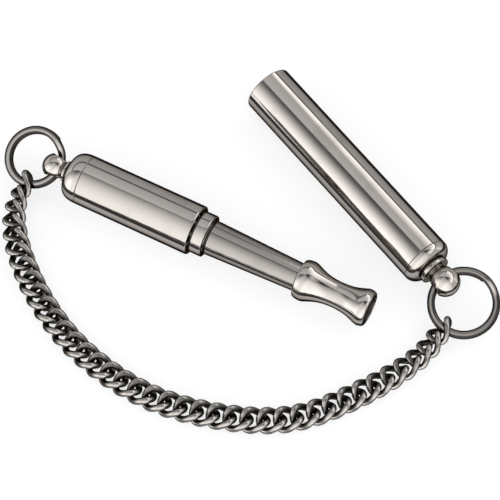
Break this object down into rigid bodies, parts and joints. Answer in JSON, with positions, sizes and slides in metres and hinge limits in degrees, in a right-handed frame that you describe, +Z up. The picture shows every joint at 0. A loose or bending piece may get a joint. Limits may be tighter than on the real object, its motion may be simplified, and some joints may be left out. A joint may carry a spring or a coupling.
{
  "type": "silent dog whistle with chained cap",
  "caption": "Nickel-plated silent dog whistle with a screw-tuned stem, a push-on cap taken off beside it, and a curb chain on two split rings.",
  "frame": {"origin": "middle of the footprint of the whole set, on the table it lies on", "axes": "+Z up from the table; +Y along the cap, out of its open rim; +X to the right of the cap seen with the rim pointing away"},
  "size_m": [0.072, 0.0884, 0.0099],
  "materials": {
    "polished_nickel": "polished nickel plate on brass",
    "chain_nickel": "nickel plate, darkened between the links",
    "inner_brass": "turned, bare",
    "seal_leather": "oiled",
    "packing_felt": "felt"
  },
  "bodies": {
    "barrel": {"barrel_tube": "polished_nickel", "barrel_end_knob": "polished_nickel", "piston_rod": "inner_brass", "piston_seal": "seal_leather", "guide_bush": "inner_brass"},
    "lock_ring": {"lock_ring": "polished_nickel"},
    "packing": {"rod_packing": "packing_felt"},
    "stem": {"stem_tube": "polished_nickel", "gland_nut": "inner_brass", "windway_plug": "inner_brass", "mouthpiece": "polished_nickel", "mouth_bush": "chain_nickel"},
    "whistle_ring": {"whistle_split_ring": "polished_nickel"},
    "link_01": {"chain_link_01": "chain_nickel"},
    "link_02": {"chain_link_02": "chain_nickel"},
    "link_03": {"chain_link_03": "chain_nickel"},
    "link_04": {"chain_link_04": "chain_nickel"},
    "link_05": {"chain_link_05": "chain_nickel"},
    "link_06": {"chain_link_06": "chain_nickel"},
    "link_07": {"chain_link_07": "chain_nickel"},
    "link_08": {"chain_link_08": "chain_nickel"},
    "link_09": {"chain_link_09": "chain_nickel"},
    "link_10": {"chain_link_10": "chain_nickel"},
    "link_11": {"chain_link_11": "chain_nickel"},
    "link_12": {"chain_link_12": "chain_nickel"},
    "link_13": {"chain_link_13": "chain_nickel"},
    "link_14": {"chain_link_14": "chain_nickel"},
    "link_15": {"chain_link_15": "chain_nickel"},
    "link_16": {"chain_link_16": "chain_nickel"},
    "link_17": {"chain_link_17": "chain_nickel"},
    "link_18": {"chain_link_18": "chain_nickel"},
    "link_19": {"chain_link_19": "chain_nickel"},
    "link_20": {"chain_link_20": "chain_nickel"},
    "link_21": {"chain_link_21": "chain_nickel"},
    "link_22": {"chain_link_22": "chain_nickel"},
    "link_23": {"chain_link_23": "chain_nickel"},
    "link_24": {"chain_link_24": "chain_nickel"},
    "link_25": {"chain_link_25": "chain_nickel"},
    "link_26": {"chain_link_26": "chain_nickel"},
    "link_27": {"chain_link_27": "chain_nickel"},
    "link_28": {"chain_link_28": "chain_nickel"},
    "link_29": {"chain_link_29": "chain_nickel"},
    "link_30": {"chain_link_30": "chain_nickel"},
    "link_31": {"chain_link_31": "chain_nickel"},
    "link_32": {"chain_link_32": "chain_nickel"},
    "link_33": {"chain_link_33": "chain_nickel"},
    "link_34": {"chain_link_34": "chain_nickel"},
    "link_35": {"chain_link_35": "chain_nickel"},
    "link_36": {"chain_link_36": "chain_nickel"},
    "link_37": {"chain_link_37": "chain_nickel"},
    "link_38": {"chain_link_38": "chain_nickel"},
    "cap_ring": {"cap_split_ring": "polished_nickel"},
    "cap": {"cap_tube": "polished_nickel", "cap_end_knob": "polished_nickel"}
  },
  "joints": [
    {"name": "lock_ring_turn", "type": "hinge", "parent": "barrel", "child": "lock_ring", "pos_m": [-0.00137, 0.0058, 0.00496], "axis": [0.4163, -0.9092, 0], "range_deg": [0, 120]},
    {"name": "tuning_travel", "type": "slide", "parent": "barrel", "child": "packing", "axis": [0.4163, -0.9092, 0], "range_m": [0, 0.0075]},
    {"name": "tuning_turn", "type": "hinge", "parent": "packing", "child": "stem", "pos_m": [-0.00137, 0.0058, 0.00496], "axis": [0.4163, -0.9092, 0], "range_deg": [0, 3600]},
    {"name": "whistle_ring_swing", "type": "hinge", "parent": "barrel", "child": "whistle_ring", "pos_m": [-0.01398, 0.03335, 0.00496], "axis": [-0.8306, -0.3803, -0.4067], "range_deg": [-60, 90]},
    {"name": "link_01_on_ring", "type": "hinge", "parent": "whistle_ring", "child": "link_01", "pos_m": [-0.02027, 0.0357, 0.00247], "axis": [0.4455, -0.8903, 0.0942], "range_deg": [-15, 15]},
    {"name": "link_02_sway", "type": "hinge", "parent": "link_01", "child": "link_02", "pos_m": [-0.02223, 0.03448, 0.00254], "axis": [-0.4974, 0.7245, 0.4772], "range_deg": [-5, 5]},
    {"name": "link_03_lift", "type": "hinge", "parent": "link_02", "child": "link_03", "pos_m": [-0.02485, 0.03261, 0.0025], "axis": [-0.3972, 0.4648, -0.7913], "range_deg": [-15, 6]},
    {"name": "link_04_sway", "type": "hinge", "parent": "link_03", "child": "link_04", "pos_m": [-0.02695, 0.03027, 0.00243], "axis": [0.5628, -0.3941, -0.7267], "range_deg": [-5, 5]},
    {"name": "link_05_lift", "type": "hinge", "parent": "link_04", "child": "link_05", "pos_m": [-0.02859, 0.02758, 0.00233], "axis": [0.7178, -0.4066, 0.5652], "range_deg": [-12, 15]},
    {"name": "link_06_sway", "type": "hinge", "parent": "link_05", "child": "link_06", "pos_m": [-0.02991, 0.02471, 0.00219], "axis": [-0.4144, 0.1224, 0.9018], "range_deg": [-5, 5]},
    {"name": "link_07_lift", "type": "hinge", "parent": "link_06", "child": "link_07", "pos_m": [-0.03096, 0.02174, 0.00203], "axis": [-0.9093, 0.3047, -0.2833], "range_deg": [-20, 20]},
    {"name": "link_08_sway", "type": "hinge", "parent": "link_07", "child": "link_08", "pos_m": [-0.03182, 0.01869, 0.00184], "axis": [0.139, 0.0171, -0.9901], "range_deg": [-5, 5]},
    {"name": "link_09_lift", "type": "hinge", "parent": "link_08", "child": "link_09", "pos_m": [-0.0325, 0.01561, 0.00171], "axis": [0.9818, -0.1879, 0.0266], "range_deg": [-20, 20]},
    {"name": "link_10_sway", "type": "hinge", "parent": "link_09", "child": "link_10", "pos_m": [-0.033, 0.01249, 0.00168], "axis": [-0.0009, -0.0055, 1], "range_deg": [-5, 5]},
    {"name": "link_11_lift", "type": "hinge", "parent": "link_10", "child": "link_11", "pos_m": [-0.03335, 0.00936, 0.00168], "axis": [-0.9965, 0.0835, 0], "range_deg": [-20, 20]},
    {"name": "link_12_sway", "type": "hinge", "parent": "link_11", "child": "link_12", "pos_m": [-0.03353, 0.0062, 0.00168], "axis": [0, 0, -1], "range_deg": [-5, 5]},
    {"name": "link_13_lift", "type": "hinge", "parent": "link_12", "child": "link_13", "pos_m": [-0.03349, 0.00305, 0.00168], "axis": [0.9988, 0.0483, 0], "range_deg": [-20, 20]},
    {"name": "link_14_sway", "type": "hinge", "parent": "link_13", "child": "link_14", "pos_m": [-0.03322, -0.0001, 0.00168], "axis": [0, 0, 1], "range_deg": [-8, 8]},
    {"name": "link_15_lift", "type": "hinge", "parent": "link_14", "child": "link_15", "pos_m": [-0.03273, -0.00322, 0.00168], "axis": [-0.9829, -0.1839, 0], "range_deg": [-20, 20]},
    {"name": "link_16_sway", "type": "hinge", "parent": "link_15", "child": "link_16", "pos_m": [-0.03206, -0.0063, 0.00168], "axis": [0, 0, -1], "range_deg": [-8, 8]},
    {"name": "link_17_lift", "type": "hinge", "parent": "link_16", "child": "link_17", "pos_m": [-0.03121, -0.00934, 0.00168], "axis": [0.9539, 0.3, 0], "range_deg": [-20, 20]},
    {"name": "link_18_sway", "type": "hinge", "parent": "link_17", "child": "link_18", "pos_m": [-0.03017, -0.01232, 0.00168], "axis": [0, 0, 1], "range_deg": [-8, 8]},
    {"name": "link_19_lift", "type": "hinge", "parent": "link_18", "child": "link_19", "pos_m": [-0.02891, -0.01522, 0.00168], "axis": [-0.8996, -0.4368, 0], "range_deg": [-20, 20]},
    {"name": "link_20_sway", "type": "hinge", "parent": "link_19", "child": "link_20", "pos_m": [-0.02741, -0.018, 0.00168], "axis": [0, 0, -1], "range_deg": [-8, 8]},
    {"name": "link_21_lift", "type": "hinge", "parent": "link_20", "child": "link_21", "pos_m": [-0.02572, -0.02066, 0.00168], "axis": [0.8262, 0.5634, 0], "range_deg": [-20, 20]},
    {"name": "link_22_sway", "type": "hinge", "parent": "link_21", "child": "link_22", "pos_m": [-0.02386, -0.02321, 0.00168], "axis": [0, 0, 1], "range_deg": [-8, 8]},
    {"name": "link_23_lift", "type": "hinge", "parent": "link_22", "child": "link_23", "pos_m": [-0.02185, -0.02565, 0.00168], "axis": [-0.7565, -0.654, 0], "range_deg": [-20, 20]},
    {"name": "link_24_sway", "type": "hinge", "parent": "link_23", "child": "link_24", "pos_m": [-0.01973, -0.02799, 0.00168], "axis": [0, 0, -1], "range_deg": [-8, 8]},
    {"name": "link_25_lift", "type": "hinge", "parent": "link_24", "child": "link_25", "pos_m": [-0.01749, -0.03022, 0.00168], "axis": [0.6826, 0.7308, 0], "range_deg": [-20, 20]},
    {"name": "link_26_sway", "type": "hinge", "parent": "link_25", "child": "link_26", "pos_m": [-0.01511, -0.0323, 0.00168], "axis": [0, 0, 1], "range_deg": [-12, 12]},
    {"name": "link_27_lift", "type": "hinge", "parent": "link_26", "child": "link_27", "pos_m": [-0.01256, -0.03415, 0.00168], "axis": [-0.5391, -0.8422, 0], "range_deg": [-20, 20]},
    {"name": "link_28_sway", "type": "hinge", "parent": "link_27", "child": "link_28", "pos_m": [-0.00981, -0.03569, 0.00168], "axis": [0, 0, -1], "range_deg": [-12, 12]},
    {"name": "link_29_lift", "type": "hinge", "parent": "link_28", "child": "link_29", "pos_m": [-0.00688, -0.03686, 0.00168], "axis": [0.3252, 0.9456, 0], "range_deg": [-20, 20]},
    {"name": "link_30_sway", "type": "hinge", "parent": "link_29", "child": "link_30", "pos_m": [-0.00384, -0.03775, 0.00168], "axis": [0, 0, 1], "range_deg": [-12, 12]},
    {"name": "link_31_lift", "type": "hinge", "parent": "link_30", "child": "link_31", "pos_m": [-0.00076, -0.03844, 0.00168], "axis": [-0.2061, -0.9785, 0], "range_deg": [-20, 20]},
    {"name": "link_32_sway", "type": "hinge", "parent": "link_31", "child": "link_32", "pos_m": [0.00234, -0.03905, 0.00168], "axis": [0.0158, -0.0028, -0.9999], "range_deg": [-12, 12]},
    {"name": "link_33_lift", "type": "hinge", "parent": "link_32", "child": "link_33", "pos_m": [0.00545, -0.03959, 0.00178], "axis": [0.1587, 0.9842, -0.0781], "range_deg": [-20, 20]},
    {"name": "link_34_sway", "type": "hinge", "parent": "link_33", "child": "link_34", "pos_m": [0.00857, -0.04003, 0.00197], "axis": [-0.0295, 0.2383, 0.9707], "range_deg": [-12, 12]},
    {"name": "link_35_lift", "type": "hinge", "parent": "link_34", "child": "link_35", "pos_m": [0.01172, -0.04031, 0.00214], "axis": [-0.0661, -0.9217, 0.3821], "range_deg": [-20, 20]},
    {"name": "link_36_sway", "type": "hinge", "parent": "link_35", "child": "link_36", "pos_m": [0.01487, -0.04035, 0.00229], "axis": [0.0623, -0.5193, -0.8523], "range_deg": [-12, 12]},
    {"name": "link_37_lift", "type": "hinge", "parent": "link_36", "child": "link_37", "pos_m": [0.018, -0.03998, 0.0024], "axis": [-0.1282, 0.7506, -0.6483], "range_deg": [-20, 20]},
    {"name": "link_38_sway", "type": "hinge", "parent": "link_37", "child": "link_38", "pos_m": [0.02109, -0.03912, 0.00248], "axis": [-0.2212, 0.7276, 0.6493], "range_deg": [-12, 12]},
    {"name": "cap_ring_on_link", "type": "hinge", "parent": "link_38", "child": "cap_ring", "pos_m": [0.0233, -0.03842, 0.00253], "axis": [0.2208, -0.9678, -0.1209], "range_deg": [-15, 15]},
    {"name": "cap_swing", "type": "hinge", "parent": "cap_ring", "child": "cap", "pos_m": [0.02901, -0.0314, 0.00496], "axis": [0.9781, 0, 0.2079], "range_deg": [-75, 75]}
  ],
  "couplings": [
    {"joint": "tuning_turn", "follows": "tuning_travel", "rad_per_m": 8377.6}
  ]
}
